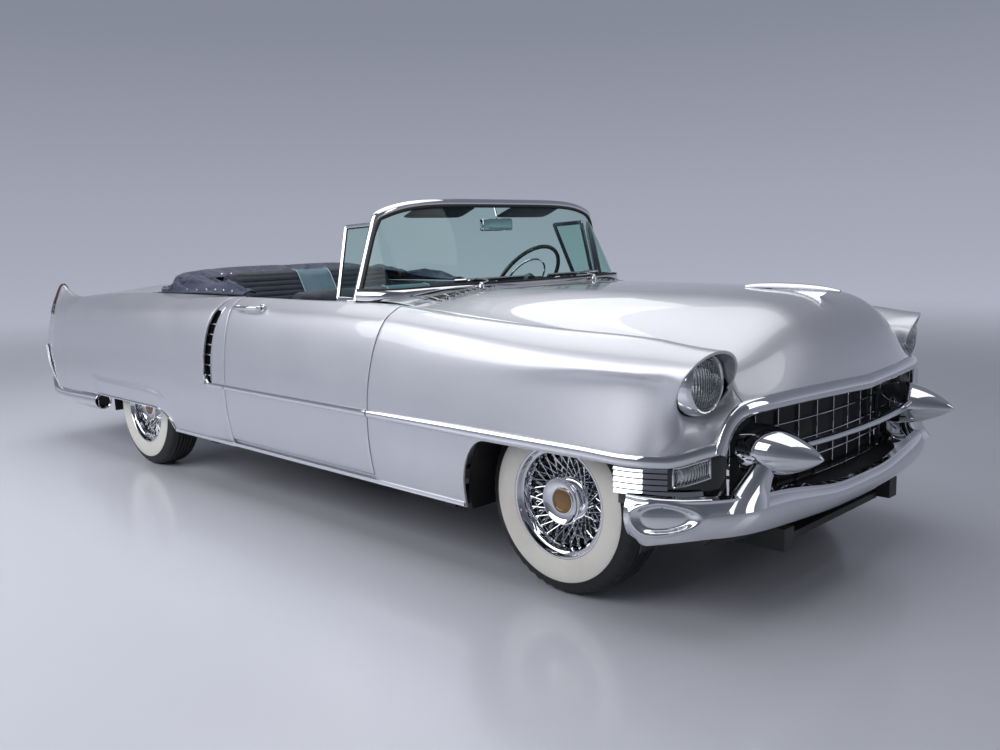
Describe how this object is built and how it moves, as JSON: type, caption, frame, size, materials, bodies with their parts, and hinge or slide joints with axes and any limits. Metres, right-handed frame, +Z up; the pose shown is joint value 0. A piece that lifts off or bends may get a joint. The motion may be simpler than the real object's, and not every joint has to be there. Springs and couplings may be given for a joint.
{
  "type": "convertible car",
  "caption": "Two-door 1950s convertible with its top folded under a boot: opening doors, hood and trunk, steered front wheels, wraparound windscreen, chrome bumpers with cone guards.",
  "frame": {"origin": "middle of the bounding box's bottom, on the ground", "axes": "+X forward, +Y to the car's left, +Z up"},
  "size_m": [5.669, 2.026, 1.4977],
  "materials": {
    "silver_paint": "metallic gloss",
    "chrome": "polished",
    "tinted_glass": "clear, green tint",
    "black_metal": "satin",
    "cast_metal": "cast",
    "lamp_glass": "fluted",
    "red_lens": "gloss",
    "navy_leather": "satin",
    "navy_vinyl": "soft coated cloth",
    "blue_trim": "satin",
    "black_plastic": "gloss",
    "tyre": "whitewall"
  },
  "bodies": {
    "body": {"sills": "silver_paint", "cowl": "silver_paint", "front_fender_right": "silver_paint", "front_fender_left": "silver_paint", "rear_quarter_right": "silver_paint", "rear_quarter_left": "silver_paint", "tail_panel": "silver_paint", "rear_deck": "silver_paint", "windscreen_frame": "chrome", "grille": "chrome", "grille_surround": "chrome", "front_bumper": "chrome", "rear_bumper": "chrome", "louvre_panels": "chrome", "windscreen_glass": "tinted_glass", "chassis_frame": "black_metal", "floor_pan": "black_metal", "hinge_posts": "black_metal", "front_suspension": "black_metal", "radiator": "black_metal", "fuel_tank": "black_metal", "engine": "cast_metal", "propshaft": "cast_metal", "rear_axle": "cast_metal", "exhaust": "cast_metal", "headlamps": "lamp_glass", "tail_lamps": "red_lens", "front_seat": "navy_leather", "rear_seat": "navy_leather", "top_boot": "navy_vinyl", "side_trims": "blue_trim", "dashboard": "blue_trim", "steering_column": "blue_trim"},
    "door_right": {"door_right": "silver_paint", "vent_frame_right": "chrome", "vent_glass_right": "tinted_glass"},
    "door_left": {"door_left": "silver_paint", "vent_frame_left": "chrome", "vent_glass_left": "tinted_glass"},
    "hood": {"hood": "silver_paint", "hood_hinges": "black_metal"},
    "trunk": {"trunk_lid": "silver_paint", "trunk_hinges": "black_metal"},
    "steer_right": {"knuckle_right": "cast_metal"},
    "steer_left": {"knuckle_left": "cast_metal"},
    "wheel_front_right": {"tyre_front_right": "tyre", "wheel_front_right": "chrome"},
    "wheel_front_left": {"tyre_front_left": "tyre", "wheel_front_left": "chrome"},
    "wheel_rear_right": {"tyre_rear_right": "tyre", "wheel_rear_right": "chrome"},
    "wheel_rear_left": {"tyre_rear_left": "tyre", "wheel_rear_left": "chrome"},
    "steering_wheel": {"steering_wheel": "black_plastic"}
  },
  "joints": [
    {"name": "door_right_hinge", "type": "hinge", "parent": "body", "child": "door_right", "pos_m": [0.9445, -0.9835, 0.7], "axis": [0, 0, 1], "range_deg": [0, 65]},
    {"name": "door_left_hinge", "type": "hinge", "parent": "body", "child": "door_left", "pos_m": [0.9445, 0.9835, 0.7], "axis": [0, 0, -1], "range_deg": [0, 65]},
    {"name": "hood_hinge", "type": "hinge", "parent": "body", "child": "hood", "pos_m": [1.1655, 0, 1.045], "axis": [0, -1, 0], "range_deg": [0, 45]},
    {"name": "trunk_hinge", "type": "hinge", "parent": "body", "child": "trunk", "pos_m": [-1.2105, 0, 0.96], "axis": [0, 1, 0], "range_deg": [0, 60]},
    {"name": "steer_left", "type": "hinge", "parent": "body", "child": "steer_left", "pos_m": [1.9445, 0.672, 0.352], "axis": [0, 0, 1], "range_deg": [-30, 30]},
    {"name": "steer_right", "type": "hinge", "parent": "body", "child": "steer_right", "pos_m": [1.9445, -0.672, 0.352], "axis": [0, 0, 1], "range_deg": [-30, 30]},
    {"name": "steering_wheel_turn", "type": "hinge", "parent": "body", "child": "steering_wheel", "pos_m": [0.6605, 0.38, 1.088], "axis": [-0.8192, 0, 0.5736], "range_deg": [-630, 630]},
    {"name": "wheel_front_left_spin", "type": "hinge", "parent": "steer_left", "child": "wheel_front_left", "pos_m": [1.9445, 0.762, 0.352], "axis": [0, 1, 0], "continuous": true},
    {"name": "wheel_front_right_spin", "type": "hinge", "parent": "steer_right", "child": "wheel_front_right", "pos_m": [1.9445, -0.762, 0.352], "axis": [0, 1, 0], "continuous": true},
    {"name": "wheel_rear_left_spin", "type": "hinge", "parent": "body", "child": "wheel_rear_left", "pos_m": [-1.3325, 0.8015, 0.352], "axis": [0, 1, 0], "continuous": true},
    {"name": "wheel_rear_right_spin", "type": "hinge", "parent": "body", "child": "wheel_rear_right", "pos_m": [-1.3325, -0.8015, 0.352], "axis": [0, 1, 0], "continuous": true}
  ],
  "couplings": [
    {"joint": "steer_right", "follows": "steer_left", "ratio": 1},
    {"joint": "steering_wheel_turn", "follows": "steer_left", "ratio": 21}
  ]
}
